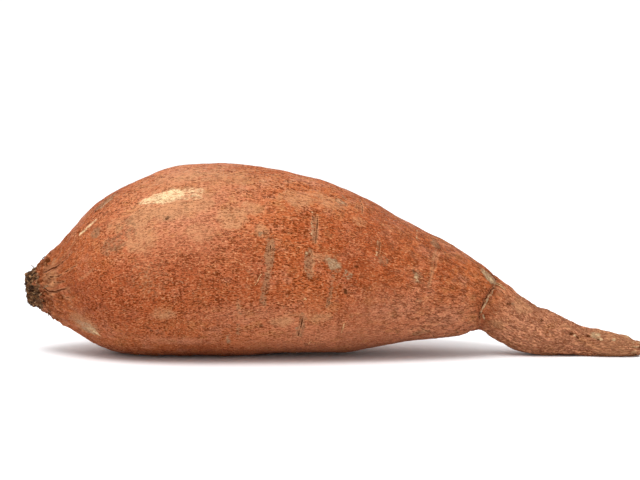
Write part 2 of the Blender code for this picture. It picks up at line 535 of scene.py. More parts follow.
PALE_SPOTS = (  # scrapes that show the flesh, the largest near the crown
    ((25.6, 8.6), 5.5, 3.4, 0.55, 4),
    ((48.3, 58.8), 11.5, 3.4, 0.9, 10, -0.12),
    ((54.2, 59.6), 14, 6.6, 1, 14, -0.12),
    ((62.4, 60.5), 12, 7, 0.58, 4, -0.06),
    ((147.5, 29.3), 2, 4, 0.48, 25, 0.1),
    ((174.8, 28.6), 6.6, 2.8, 0.6, -14),
    ((207.6, 6.8), 1.2, 1, 0.9, 0, 0.05),
    ((215.4, 6.3), 4.6, 3, 0.62, -20, 0.4),
    ((217.4, 5.2), 1.5, 1.2, 0.9, 0, 0.05),
    ((222.2, 4.8), 1.7, 1.2, 0.9, 0, 0.05),
    ((226.4, 6), 5, 2.4, 0.6, -30, 0.2),
)
DARK_SPOTS = (  # eyes and pits
    ((6.8, 21.5), 5, 9, 0.38, 0, -0.1),
    ((8.6, 34.4), 4.2, 2.6, 0.85, 20),
    ((11.5, 31.9), 2.6, 1.2, 0.35, 30, -0.2),
    ((13.5, 21.3), 4, 2, 0.5, 0, -0.15),
    ((26.6, 45.6), 2.6, 1.2, 0.6, 60, -0.1),
    ((43, 57), 2.2, 1.2, 0.7, 20, -0.1),
    ((47.2, 9.1), 3.6, 1.6, 0.4, -50, -0.15),
    ((53.8, 51.2), 2.2, 1.4, 0.6, 20, -0.3),
    ((60.5, 8.8), 3, 1.6, 0.4, 50, -0.15),
    ((89.3, 10), 2.2, 1.4, 0.7, 0, -0.15),
    ((90.4, 45.9), 1.4, 1.2, 0.75, 0, -0.3),
    ((120.9, 23.2), 1.5, 2.5, 0.8, 0, -0.35),
    ((125, 32.8), 1.7, 1.4, 0.8, 0, -0.3),
    ((146.9, 30.9), 1.2, 2, 0.6, 30, -0.2),
    ((155.9, 39.9), 1.8, 1.4, 0.55, 0, -0.2),
    ((177, 29.1), 2.8, 1.8, 1.3, -30, -0.5),
    ((182.6, 18.7), 2.2, 1.2, 0.85, 20, -0.25),
    ((195, 12.3), 1.5, 1.3, 0.8, 0, -0.25),
    ((203.6, 8.5), 1.4, 1, 0.7, 0, -0.2),
    ((206.2, 7.4), 1.5, 1, 1, 20, -0.3),
    ((208.6, 6), 1.6, 1, 1, -30, -0.3),
    ((212.6, 6.4), 1.4, 1, 1, 0, -0.2),
    ((216.4, 5), 1.1, 0.9, 0.9, 0, -0.2),
    ((221, 4.4), 1.1, 0.9, 0.8, 0, -0.2),
)
SEEN_PATCHES = {
    "tan": TAN_SPOTS, "grey": GREY_SPOTS, "rust_and_shade": RUST_SPOTS,
    "beige": BEIGE_SPOTS, "pale": PALE_SPOTS, "dark": DARK_SPOTS,
}

# Trails: layer, width, strength, height, the spots that they run through.
SEEN_TRAILS = (
    # shreds and pale skin round the stem
    ("rust_and_shade", 2.6, 0.8, 0, ((6.8, 30.8), (10, 31.6), (14.7, 35), (18, 39.1))),
    ("rust_and_shade", 2.6, 0.8, 0, ((7.3, 24.8), (10.2, 23.6), (16.5, 24.8), (24, 27.3))),
    ("beige", 1.8, 0.9, 0.2, ((4.4, 30.3), (4.9, 27.7), (5.4, 25.1))),
    ("beige", 1.2, 0.7, 0.1, ((6.4, 24.3), (9, 25.7))),
    # a thin pale line along the lower-left rim: part of the painted reflection there
    ("beige", 1.6, 0.75, 0, ((4, 18.6), (7, 16.4), (10, 14.6))),
    # cream slivers on the shoulder
    ("dark", 1, 0.5, -0.2, ((20.2, 45.5), (22.6, 48.5), (26.2, 51.1))),
    ("pale", 1.6, 0.9, 0.05, ((20.9, 45.2), (23.9, 48.1), (27, 50.6))),
    ("rust_and_shade", 5, 1, 0, ((27.6, 55.3), (30.5, 57.9), (33.8, 60.1))),
    ("grey", 3.4, 1.3, 0.15, ((27.6, 55), (30.5, 57.6), (33.8, 59.8))),
    ("beige", 1.6, 1.1, 0.1, ((28.8, 55.2), (31, 57), (33, 58.3))),
    ("pale", 1.1, 0.85, 0, ((26, 8.1), (28.4, 6.5))),
    # upright lenticel scars
    ("grey", 3, 0.85, -0.1, ((91.7, 31), (91.1, 26.3), (90.2, 23.3), (89.8, 18.4))),
    ("grey", 2, 0.7, -0.1, ((80.5, 20.6), (80.8, 14.7))),
    ("grey", 1.9, 0.8, -0.1, ((80.3, 10.6), (80.5, 7.2))),
    ("beige", 2, 0.75, 0, ((76.5, 7.2), (76.7, 4))),
    ("pale", 0.9, 0.52, 0.1, ((108.2, 54), (108.2, 49.7), (108.3, 45.3))),
    ("pale", 0.8, 0.48, 0.1, ((107.4, 39.4), (106.2, 37.8), (105.6, 34.5), (105.7, 31))),
    ("grey", 1.7, 0.75, -0.1, ((116.4, 31.6), (115.8, 26.9), (115.2, 21.6), (114.2, 17.8))),
    ("grey", 3, 0.8, 0, ((104.9, 13.9), (104.2, 10.6), (103, 6.1))),
    ("beige", 0.9, 0.6, 0.05, ((103.2, 12.5), (102, 8.9), (100.9, 5.9))),
    ("pale", 0.9, 0.62, 0.1, ((133.1, 42.7), (132.7, 40), (132.6, 37.3))),
    ("pale", 0.9, 0.55, 0, ((147.9, 46.6), (147.7, 43.3))),
    ("beige", 1.2, 0.7, 0, ((119.2, 60.3), (121, 58.3))),
    ("beige", 0.9, 0.8, 0.05, ((56, 26.7), (58.3, 27.3), (60, 26.5))),
    # the growth line above the waist
    ("tan", 1.6, 0.75, 0.06, ((154.9, 39.3), (153.9, 36.3), (153.3, 31.3), (152, 25.3))),
    # the fibres below the scar over the waist
    ("pale", 0.7, 0.8, 0, ((172.6, 31.8), (173.2, 30.2), (174, 29))),
    ("beige", 1, 1.2, 0.1, ((176.8, 27.4), (178.6, 26.2), (181.2, 24.5))),
    ("pale", 0.6, 0.8, 0.1, ((177, 26.6), (179, 25.5), (181.4, 24))),
)

# Cracks: strength, which also makes them wider, and the spots that they run through.
SEEN_CRACKS = (
    (1, ((6.8, 30.4), (9.8, 31.6), (13.5, 33.8), (15.8, 36.1), (17.7, 38.4))),
    (0.9, ((9.8, 28.9), (13.2, 29.3), (16, 31.2), (19.5, 33.4))),
    (1, ((7.3, 24.7), (9.4, 23.4), (11.9, 23.3), (14.3, 24.2), (16.5, 24.7))),
    (0.85, ((14.6, 21.6), (16.8, 21.2), (17.6, 19.2))),
    (0.9, ((13.6, 35.5), (16.4, 38.8), (18.6, 42.3), (19.4, 45.3))),
    (0.85, ((20.7, 27.8), (23.3, 29.7), (25.9, 32))),
    (0.9, ((8, 33.8), (7.4, 31.6))),
    (0.85, ((10.8, 26.9), (13, 26.6), (15, 27.4))),
    (1, ((27.8, 56), (30.3, 58.1), (33, 59.9))),
    (0.9, ((92.8, 41.3), (92.7, 36.5))),
    (0.8, ((80.6, 19.4), (80.9, 15.6))),
    (0.95, ((110.4, 52.6), (110.3, 47.4), (109.8, 42))),
    (0.8, ((108.6, 38.2), (108.8, 34), (108.2, 29.6))),
    (0.95, ((104.9, 13.5), (104.2, 10.6), (103, 6.3))),
    (0.85, ((98.5, 51.6), (100.4, 50.9), (102.3, 51.2))),
    (0.85, ((134, 42.3), (133.6, 37.8))),
    (0.9, ((126.4, 57.9), (127.4, 55.7), (127.3, 53.1))),
    (0.85, ((115.2, 21), (114.6, 17.8))),
    (0.76, ((156.3, 38.6), (155.2, 35.4), (154.9, 32.6), (153.2, 29), (153, 26.3))),
    (0.9, ((144.5, 8.3), (149, 9.5), (153, 7.7), (154.5, 6.1))),
    (1, ((174.6, 30.6), (177.2, 29), (179.6, 27))),
    (0.9, ((177.2, 24.8), (179.4, 24.2), (181, 22.6))),
)

WAIST_CREASE = ((177.6, 25.3), (176.3, 24.2), (173.9, 20), (172.2, 15.3), (171.9, 13.3), (171.3, 9.9))
WAIST_LIP = ((177, 24.5), (175.2, 21.1), (173.4, 17.3), (172.4, 14.9))
WAIST_SECOND_LINE = ((172.8, 14.3), (173.9, 11.3), (173.7, 7.9))
WAIST_HIDDEN_ANGLES = range(150, 391, 20)  # degrees from the crown towards -Y
WAIST_WAVE = 1.5  # mm that the hidden crease wanders
WAIST_DEPTH = 0.7
WAIST_HIDDEN_DEPTH = 0.5
WAIST_WIDTH = 1.3
WAIST_SHADE_WIDTH = 4.0
WAIST_LIP_WIDTH = 0.75
WAIST_LIP_HEIGHT = 0.25
WAIST_RAGGED = 0.15
DRIFT_SOFT = 0.95
SWELLING_SOFT = 0.8
CRACK_WIDTH = 0.9
CRACK_DEPTH = 0.3


def seen_line(skin, spots):
    return [skin.seen(*spot) for spot in spots]


def add_patch(skin, layer, spot, length, width, strength, turn=0, height=0):
    inside = skin.patch(skin.seen(*spot), length, width, turn)
    skin.paint(layer, inside, strength)
    skin.raise_by(inside, height)


def paint_seen_marks(skin):
    for layer, spot, length, width, turn, strength in SEEN_DRIFTS:
        skin.paint(layer, skin.patch(skin.seen(*spot), length, width, turn, DRIFT_SOFT), strength)
    for spot, length, width, turn, height in SEEN_SWELLINGS:
        skin.raise_by(skin.patch(skin.seen(*spot), length, width, turn, SWELLING_SOFT), height)
    for layer, patches in SEEN_PATCHES.items():
        for patch in patches:
            add_patch(skin, layer, *patch)
    for layer, width, strength, height, spots in SEEN_TRAILS:
        inside = skin.trail(seen_line(skin, spots), width)
        skin.paint(layer, inside, strength)
        skin.raise_by(inside, height)
    for strength, spots in SEEN_CRACKS:
        line = seen_line(skin, spots)
        skin.paint("crack", skin.crack(line), strength)
        skin.raise_by(skin.trail(line, CRACK_WIDTH), -CRACK_DEPTH * strength)


def add_waist(skin):
    """The crease that parts the tail from the body, all round, with painted shade along it and its pale lip.
    """
    front = seen_line(skin, WAIST_CREASE)
    along_mm = skin.along[skin.nearest(front[2])] / MM
    back = []
    for degrees in WAIST_HIDDEN_ANGLES:
        wave = WAIST_WAVE * math.sin(math.radians(3 * degrees))
        back.append(skin.at_angle(along_mm + wave, degrees))
    for line, depth in ((front, WAIST_DEPTH), (back, WAIST_HIDDEN_DEPTH)):
        skin.raise_by(skin.trail(line, WAIST_WIDTH, WAIST_RAGGED), -depth)
        skin.paint("crack", skin.crack(line))
        # painted shade: a dark brown band along the crease
        skin.paint("rust_and_shade", skin.trail(line, WAIST_SHADE_WIDTH), 0.75)
    for spots in (WAIST_LIP, WAIST_SECOND_LINE):
        line = seen_line(skin, spots)
        lip = skin.trail(line, WAIST_LIP_WIDTH, WAIST_RAGGED)
        skin.paint("beige", lip, 1.3)
        skin.paint("pale", lip, 0.55)
        skin.raise_by(lip, WAIST_LIP_HEIGHT)


# -------------------- marks that the camera never sees

HIDDEN_SCARS = 26
HIDDEN_EYES = 9
HIDDEN_BRUISES = 30
HIDDEN_STRETCH = (16, 172)  # mm from the stem end, between the stub and the waist
HIDDEN_ANGLES = (165, 345)  # from the crown towards -Y: the underside and the back
HIDDEN_SEED = 11

# Ranges of the random draws, in mm, and in degrees for the turn
BRUISE_LENGTH = (6, 16)
BRUISE_WIDTH = (4, 9)
BRUISE_STRENGTH = (0.35, 0.8)
SCAR_TURN = (7, 12)
SCAR_SWAY = (-0.5, 0.5)
SCAR_WIDTH = (1.4, 3.0)
SCAR_STRENGTH = (0.7, 1.0)
SCAR_CRACK_STRENGTH = (0.6, 0.95)
SCAR_DEPTH = 0.15
EYE_SIZE = (1.8, 2.8)
EYE_DEPTH = 0.4


def scattered_spots(chance, count):
    """Random places on the hidden sides, as distances along the root and angles."""
    for _ in range(count):
        yield chance.uniform(*HIDDEN_STRETCH), chance.uniform(*HIDDEN_ANGLES)


def paint_hidden_marks(skin):
    """Scars, eyes and bruises like the seen ones, scattered over the hidden sides."""
    chance = random.Random(HIDDEN_SEED)
    for along_mm, degrees in scattered_spots(chance, HIDDEN_BRUISES):
        spot = skin.at_angle(along_mm, degrees)
        inside = skin.patch(spot, chance.uniform(*BRUISE_LENGTH), chance.uniform(*BRUISE_WIDTH))
        skin.paint(chance.choice(("tan", "tan", "grey", "rust_and_shade")), inside, chance.uniform(*BRUISE_STRENGTH))
    for along_mm, degrees in scattered_spots(chance, HIDDEN_SCARS):
        turns = (0, 4, chance.uniform(*SCAR_TURN))
        line = [skin.at_angle(along_mm + chance.uniform(*SCAR_SWAY), degrees + turn) for turn in turns]
        inside = skin.trail(line, chance.uniform(*SCAR_WIDTH))
        skin.paint(chance.choice(("grey", "grey", "grey", "beige")), inside, chance.uniform(*SCAR_STRENGTH))
        skin.paint("crack", skin.crack(line), chance.uniform(*SCAR_CRACK_STRENGTH))
        skin.raise_by(inside, -SCAR_DEPTH)
    for along_mm, degrees in scattered_spots(chance, HIDDEN_EYES):
        spot = skin.at_angle(along_mm, degrees)
        size = chance.uniform(*EYE_SIZE)
        skin.paint("grey", skin.patch(spot, size * 2, size * 1.8), 0.7)
        skin.paint("dark", skin.patch(spot, size, size))
        skin.raise_by(skin.patch(spot, size, size), -EYE_DEPTH)


# -------------------- building the pieces

UV_NAME = "OFBake"
SAME_POINT = 0.012 * MM


def grid_faces(rings):
    """The quads between neighbouring rings, wound so that they face outward."""
    ring, column = np.meshgrid(np.arange(rings - 1), np.arange(AROUND), indexing="ij")
    start = ring * AROUND
    after = (column + 1) % AROUND
    corners = (start + column, start + after, start + AROUND + after, start + AROUND + column)
    return np.stack(corners, axis=-1).reshape(-1, 4)


def unwrapped(grid):
    """Texture coordinates of every quad's corners, round and along the root."""
    travel = running_total(norm(np.diff(grid, axis=0), axis=2).mean(axis=1))
    travel /= travel[-1]
    ring, column = np.meshgrid(np.arange(len(grid) - 1), np.arange(AROUND), indexing="ij")
    across = np.stack((column, column + 1, column + 1, column), axis=-1) / AROUND
    up = np.stack((travel[ring], travel[ring], travel[ring + 1], travel[ring + 1]), axis=-1)
    return np.stack((across, up), axis=-1).reshape(-1)


def add_attributes(mesh, skin):
    for name, weights in skin.layers.items():
        mesh.attributes.new(name, "FLOAT", "POINT").data.foreach_set("value", weights)
    mesh.attributes.new("grain", "FLOAT_VECTOR", "POINT").data.foreach_set("vector", skin.grain.reshape(-1))


def edit(mesh, change):
    bm = bmesh.new()
    bm.from_mesh(mesh)
    change(bm)
    bm.to_mesh(mesh)
    bm.free()


def join_poles(bm):
    """Make one point of the ring of equal points at the middle of each end."""
    bmesh.ops.remove_doubles(bm, verts=bm.verts, dist=SAME_POINT)


def face_outward(bm):
    bmesh.ops.recalc_face_normals(bm, faces=bm.faces)


def placed(name, data):
    """A new object in the scene."""
    thing = bpy.data.objects.new(name, data)
    bpy.context.scene.collection.objects.link(thing)
    return thing


def show(name, mesh, material):
    """Add a mesh, with its material, as a piece on the root's body."""
    mesh.materials.append(material)
    mesh.shade_smooth()
    piece = placed(name, mesh)
    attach(piece, "root")
    return piece


def skin_piece(skin, material):
    moved = skin.points + skin.normals * skin.lift[:, None]
    moved[:, 2] = np.maximum(moved[:, 2], 0.0)
    mesh = bpy.data.meshes.new("potato_skin")
    mesh.from_pydata(moved, [], grid_faces(skin.rings))
    mesh.uv_layers.new(name=UV_NAME).data.foreach_set("uv", unwrapped(skin.grid))
    add_attributes(mesh, skin)
    edit(mesh, join_poles)
    piece = show("potato_skin", mesh, material)
    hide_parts(NODE)


# -------------------- root hairs and stem fibres

STRAND_SIDES = 6
STRAND_STEPS = 10
STRAND_TIP = 0.12  # where the taper begins, in radians of a sine
STRAND_ASKEW = np.array((0.31, 0.22, 0.92))  # a direction that no strand runs along
HAIR_CLEARANCE = 0.1  # mm above the skin
FIBRE_DEPTH = 0.15  # mm below the skin

# Hairs that the camera sees: the spots that they run through and their thickness in mm.
SEEN_HAIRS = (
    (((86.3, 25.2), (87.4, 26.6), (88.4, 28.5), (89.5, 30.1)), 0.28),
    (((120.5, 11.7), (119.9, 9.9), (118.9, 7.5)), 0.50),
    (((105.0, 20.5), (105.7, 20.8), (106.2, 20.2)), 0.45),
    (((176.8, 27.0), (178.8, 26.0), (181.0, 24.4)), 0.30),
    (((177.0, 26.4), (179.0, 25.3), (181.2, 23.9)), 0.34),
    (((106.5, 3.3), (107.8, 4.5), (109.4, 3.7)), 0.30),
)
HIDDEN_HAIRS = 14
HAIR_SEED = 5
HAIR_STEPS = 4
HAIR_LEAN = (-0.8, 0.8)  # mm along the root for each step
HAIR_TURN = 1.6  # degrees round the root for each step
HAIR_KINK = (-0.6, 0.6)  # mm more at the last step
HAIR_THICKNESS = (0.2, 0.4)
STEM_FIBRES = 46
FIBRE_SEED = 23
FIBRE_FEET = (0.2, 9.5)  # mm from the stem end
FIBRE_LENGTH = (0.8, 2.2)
FIBRE_THICKNESS = (0.18, 0.45)
FIBRE_HALVES = ((0.3, 0.4), (0.12, 0.5))  # how far each half goes outward and astray


def strand(path, thickness_mm):
    """A thin tube along the path that tapers to both ends."""
    places = np.linspace(0, len(path) - 1, STRAND_STEPS)
    path = np.array(path)
    line = read_between(places, np.arange(len(path)), path)
    line = blurred(line, 1.0, 0, False)
    ahead = unit(np.gradient(line, axis=0))
    across = unit(np.cross(ahead, STRAND_ASKEW))
    upward = np.cross(ahead, across)
    taper = np.sqrt(np.sin(np.linspace(STRAND_TIP, math.pi - STRAND_TIP, STRAND_STEPS)))
    turns = np.arange(STRAND_SIDES) * 2 * math.pi / STRAND_SIDES
    ring = spokes(turns, across, upward)
    points = line[:, None, :] + ring * (taper * thickness_mm * MM / 2)[:, None, None]
    faces = [tuple(range(STRAND_SIDES))[::-1]]
    for i in range(STRAND_STEPS - 1):
        for j in range(STRAND_SIDES):
            after = (j + 1) % STRAND_SIDES
            here = i * STRAND_SIDES
            faces.append((here + j, here + after, here + STRAND_SIDES + after, here + STRAND_SIDES + j))
    faces.append(tuple((STRAND_STEPS - 1) * STRAND_SIDES + j for j in range(STRAND_SIDES)))
    return points.reshape(-1, 3), faces


def strands_mesh(name, strands):
    points = []
    faces = []
    for strand_points, strand_faces in strands:
        start = len(points)
        points.extend(strand_points)
        faces.extend(tuple(start + k for k in face) for face in strand_faces)
    mesh = bpy.data.meshes.new(name)
    mesh.from_pydata(points, [], faces)
    edit(mesh, face_outward)
    return mesh


def surface_point(skin, spot, above_mm):
    """The displaced skin nearest to a spot, raised a little."""
    i = skin.nearest(spot)
    return skin.points[i] + skin.normals[i] * (skin.lift[i] + above_mm * MM)


def hair_strands(skin):
    """Pale root hairs that lie on the skin, on its seen and its hidden sides."""
    strands = []
    for spots, thickness in SEEN_HAIRS:
        path = [surface_point(skin, skin.seen(*spot), HAIR_CLEARANCE) for spot in spots]
        strands.append(strand(path, thickness))
    chance = random.Random(HAIR_SEED)
    for along_mm, degrees in scattered_spots(chance, HIDDEN_HAIRS):
        lean = chance.uniform(*HAIR_LEAN)
        kink = chance.uniform(*HAIR_KINK)
        places = [along_mm + lean * step for step in range(HAIR_STEPS)]
        places[-1] += kink
        path = []
        for step, place in enumerate(places):
            spot = skin.at_angle(place, degrees + HAIR_TURN * step)
            path.append(surface_point(skin, spot, HAIR_CLEARANCE))
        strands.append(strand(path, chance.uniform(*HAIR_THICKNESS)))
    return strands


def fibre_strands(skin):
    """Short torn shreds that stand off the stub and its rim."""
    chance = random.Random(FIBRE_SEED)
    strands = []
    for _ in range(STEM_FIBRES):
        spot = skin.at_angle(chance.uniform(*FIBRE_FEET), chance.uniform(0, 360))
        normal = skin.normals[skin.nearest(spot)]
        stray = np.array([chance.uniform(-1, 1) for _ in range(3)])
        length = chance.uniform(*FIBRE_LENGTH) * MM
        path = [surface_point(skin, spot, -FIBRE_DEPTH)]
        for outward, astray in FIBRE_HALVES:
            path.append(path[-1] + (normal * outward + stray * astray) * length)
        strands.append(strand(path, chance.uniform(*FIBRE_THICKNESS)))
    return strands


# -------------------- materials

# Linear colours
ORANGE = (0.44, 0.108, 0.025, 1)
BRICK = (0.29, 0.053, 0.011, 1)
ROSE_TONE_AND_LIGHT = (0.54, 0.218, 0.118, 1)
OLIVE = (0.42, 0.18, 0.06, 1)
DEEP = (0.2, 0.034, 0.005, 1)
# light flecks, and the painted highlight along each crack
FLECK_AND_HIGHLIGHT = (0.66, 0.3, 0.14, 1)
PORE = (0.16, 0.028, 0.003, 1)
CRACK = (0.07, 0.013, 0.004, 1)
TAN = (0.48, 0.235, 0.108, 1)
GREY = (0.27, 0.137, 0.066, 1)
BEIGE = (0.39, 0.245, 0.14, 1)
BEIGE_DULL = (0.26, 0.132, 0.062, 1)
PALE = (0.76, 0.54, 0.3, 1)
PALE_DULL = (0.55, 0.33, 0.165, 1)
# rust brown: the colour of stains, and of the painted shade along the waist crease
RUST_AND_SHADE = (0.25, 0.048, 0.012, 1)
DARK = (0.065, 0.017, 0.004, 1)
STEM_DARK = (0.035, 0.014, 0.006, 1)
STEM_BROWN = (0.18, 0.075, 0.03, 1)
STEM_CREAM = (0.44, 0.245, 0.115, 1)
HAIR = (0.72, 0.43, 0.2, 1)
HAIR_BROWN = (0.36, 0.16, 0.06, 1)

# Drifts: a noise's size in mm, octaves and roughness, and a step: the noise at its start and end and the
# shares there.
BRICK_DRIFT = (((24, 24), 4, 0.55), (0.38, 0.64, 0, 0.45))
ROSY_DRIFT = (((9, 7), 4, 0.6), (0.48, 0.66, 0, 0.6))
OLIVE_DRIFT = (((7, 5), 5, 0.7), (0.5, 0.68, 0, 0.55))
MOTTLE = (((4.5, 2.6), 4, 0.65), (0.5, 0.7, 0, 0.12))
CROWDING = (((9, 9), 3, 0.55), (0.34, 0.6, 0.5, 1))
STUB_PATCHES = (((2.6, 1.5), 5, 0.75), (0.44, 0.55))
STUB_CRUMBS = (((1.7, 1.1), 4, 0.75), (0.53, 0.62))

# Noises: size in mm, octaves and roughness
SPECKLE = ((1.5, 1.1), 4, 0.65)
BLOTCH = ((3.4, 2.6), 5, 0.7)
FIBRE = ((0.95, 0.42), 2, 0.6)
KEPT_CREASES = ((3.1, 2.3), 1)

# Steps of the fibre noise. The last two are of the speckle.
LIGHT_FLECKS = (0.5, 0.76, 0, 0.8)
SCALE_FLECKS = (0.46, 0.62, 0, 0.7)
DARK_STREAKS = (0.25, 0.51, 0.8, 0)
SCAB_LIGHTS = (0.38, 0.6)
FLESH_LIGHTS = (0.36, 0.52)
SKIN_ROUGHNESS = (0.3, 0.72, 0.45, 0.78)

# Strokes: the size of their cells in mm, and how far they reach in it
LONG_STROKES = ((1.8, 0.46), 0.5)
SHORT_STROKES = ((1, 0.5), 0.5)
SCALE_STROKES = ((1.5, 0.8), 0.56)
STROKE_EDGE = 0.1

# Creases: their size in mm, their width, and the noise above which they are kept
FINE_CREASES = ((4.4, 1.15), 0.02, 0.47)
FOLDS = ((6, 1.05), 0.06, 0.42)
SCALE_CREASES = ((2.8, 1), 0.06, 0.4)
FOLD_SHARE = 0.8
SCALE_SHARE = 0.72

# How strong the pores are without a layer and where it is full
PORES_BY_WRINKLES = (1, 0.5)
PORES_BY_ROSY_LIGHT = (1, 0.6)
PORES_BY_TAN = (0.95, 0.62)

# How far noise shifts each painted layer's edge, and the weights where the layer starts and is full
EDGES = {
    "tan": (1.8, 0.1, 1.05),
    "rust_and_shade": (1.2, 0.15, 0.95),
    "grey": (2.6, 0.3, 1.05),
    "beige": (2.6, 0.45, 1),
    "pale": (1.7, 0.22, 1.05),
    "dark": (2, 0.25, 0.85),
    "stem": (1.4, 0.3, 0.62),
}
FAINT = 0.3  # a weight that noise alone can't bring out
CRACK_WAVER = 0.5
# A crack's lip is a painted highlight along each side of its dark line.
CRACK_LIP_HIGHLIGHT = (0.34, 0.58)  # steps of a crack's crest: its light lip and its dark line
CRACK_LINE = (0.66, 0.84)
# The most that each layer hides of the colour below it
COVER = {
    "tan": 0.62,
    "rust_and_shade": 0.65,
    "grey": 0.75,
    "beige": 0.9,
    "pale": 0.92,
    "dark": 0.85,
    "lip": 0.3,
    "crack": 0.9,
}
SKIN_GLOSS = (0.12, 0.01)  # on the skin and in its pits
FIBRE_RELIEF = 0.8  # against pits of 1
SKIN_BUMP = (0.6, 0.9)  # mm and strength
STRAND_BLOTCHES = ((1.6, 1.6), 4, 0.6)
STRAND_LIGHTS = (0.38, 0.62)
STRAND_ROUGHNESS = (0.3, 0.7, 0.55, 0.85)
STRAND_STREAKS = ((0.4, 0.4), 3)
STRAND_BUMP = (0.08, 0.6)
STRAND_GLOSS = 0.3

MIX_BELOW, MIX_ABOVE, MIX_RESULT = 6, 7, 2  # the colour sockets of a Mix node


class Nodes:
    """The shader nodes of a material or of the world."""

    def __init__(self, owner):
        owner.use_nodes = True
        self.tree = owner.node_tree

    def add(self, kind, inputs, **settings):
        node = self.tree.nodes.new(kind)
        for key, value in settings.items():
            setattr(node, key, value)
        for key, value in inputs.items():
            self.feed(value, node.inputs[key])
        return node

    def feed(self, value, socket):
        if isinstance(value, bpy.types.NodeSocket):
            self.tree.links.new(value, socket)
        else:
            socket.default_value = value

    def attribute(self, name):
        return self.add("ShaderNodeAttribute", {}, attribute_name=name)

    def weight(self, layer):
        """The painted weight of a layer."""
        return self.attribute(layer).outputs["Fac"]

    def place(self):
        return self.add("ShaderNodeTexCoord", {}).outputs["Object"]

    def scaled(self, place, size_mm):
        """Coordinates in which one unit is size_mm, a length along X and a width across it."""
        length, width = size_mm
        scale = (1 / (length * MM), 1 / (width * MM), 1 / (width * MM))
        return self.add("ShaderNodeMapping", {"Vector": place, "Scale": scale}).outputs["Vector"]

    def noise(self, place, size_mm, detail=3.0, roughness=0.55):
        """Noise from 0 to 1, mostly near a half, with features of size_mm."""
        inputs = {"Vector": self.scaled(place, size_mm), "Scale": 1.0}
        inputs.update({"Detail": detail, "Roughness": roughness})
        return self.add("ShaderNodeTexNoise", inputs).outputs["Fac"]

    def cells(self, place, size_mm):
        """How far each place is from the nearest of scattered points, one in each cell of size_mm."""
        inputs = {"Vector": self.scaled(place, size_mm), "Scale": 1.0, "Randomness": 1.0}
        return self.add("ShaderNodeTexVoronoi", inputs, feature="F1")

    def rise(self, value, low, high, start=0.0, end=1.0, shape="SMOOTHSTEP"):
        """A step from start at low to end at high, smooth unless its shape says otherwise."""
        inputs = {"Value": value, "From Min": low, "From Max": high, "To Min": start, "To Max": end}
        return self.add("ShaderNodeMapRange", inputs, interpolation_type=shape).outputs["Result"]

    def drift(self, place, noise, step):
        """Noise that goes through a step."""
        return self.rise(self.noise(place, *noise), *step)

    def by_layer(self, weight, without, full):
        """A share that changes with a layer's weight."""
        return self.rise(weight, 0.0, 1.0, without, full)

    def math(self, operation, first, second):
        node = self.add("ShaderNodeMath", {0: first, 1: second}, operation=operation)
        return node.outputs["Value"]

    def times(self, first, second):
        return self.math("MULTIPLY", first, second)

    def larger(self, first, second):
        return self.math("MAXIMUM", first, second)

    def mix(self, share, below, above):
        """Colour below where share is 0, above where it is 1."""
        inputs = {"Factor": share, MIX_BELOW: below, MIX_ABOVE: above}
        return self.add("ShaderNodeMix", inputs, data_type="RGBA").outputs[MIX_RESULT]

    def bump(self, height, distance_mm, strength):
        inputs = {"Height": height, "Distance": distance_mm * MM, "Strength": strength}
        return self.add("ShaderNodeBump", inputs).outputs["Normal"]


class Look(Nodes):
    """One material, built from nodes on its Principled shader."""

    def __init__(self, name):
        self.material = bpy.data.materials.new(name)
        super().__init__(self.material)

    def done(self, colour, roughness, gloss, **others):
        """The material, once its shader is fed. The others are more of its sockets."""
        sockets = self.tree.nodes["Principled BSDF"].inputs
        values = {"Base Color": colour, "Roughness": roughness, "Specular IOR Level": gloss, **others}
        for name, value in values.items():
            self.feed(value, sockets[name])
        return self.material


def strokes(look, grain, size_mm, reach):
    """Scattered strokes of many lengths along the grain."""
    scattered = look.cells(grain, size_mm)
    chance = look.add("ShaderNodeSeparateColor", {"Color": scattered.outputs["Color"]}).outputs["Red"]
    radius = look.times(chance, reach)
    inside = look.math("SUBTRACT", radius, scattered.outputs["Distance"])
    return look.rise(inside, 0.0, STROKE_EDGE)


def wavy_creases(look, grain, size_mm, width, kept_above):
    """Thin wandering lines along the grain, broken into short lengths."""
    away = look.math("ABSOLUTE", look.math("SUBTRACT", look.noise(grain, size_mm, 2.0), 0.5), 0.0)
    line = look.rise(away, 0.0, width, 1.0, 0.0)
    kept = look.rise(look.noise(grain, *KEPT_CREASES), kept_above, kept_above + 0.09)
    return look.times(line, kept)


def skin_colour(look, place, grain, fibre, scaly):
    """The skin without its marks: soft drifts of colour, painted rosy light, light flecks and dark streaks.
    """
    colour = look.mix(look.drift(place, *BRICK_DRIFT), ORANGE, BRICK)
    # rosy tone from noise, and the painted rosy light
    rosy_tone_and_light = look.larger(look.drift(place, *ROSY_DRIFT), look.weight("rosy_light"))
    colour = look.mix(rosy_tone_and_light, colour, ROSE_TONE_AND_LIGHT)
    colour = look.mix(look.drift(place, *OLIVE_DRIFT), colour, OLIVE)
    colour = look.mix(look.weight("brick"), colour, BRICK)
    colour = look.mix(look.drift(grain, *MOTTLE), colour, DEEP)
    colour = look.mix(look.rise(fibre, *LIGHT_FLECKS), colour, FLECK_AND_HIGHLIGHT)
    colour = look.mix(look.times(look.rise(fibre, *SCALE_FLECKS), scaly), colour, FLECK_AND_HIGHLIGHT)
    return look.mix(look.rise(fibre, *DARK_STREAKS), colour, DEEP)


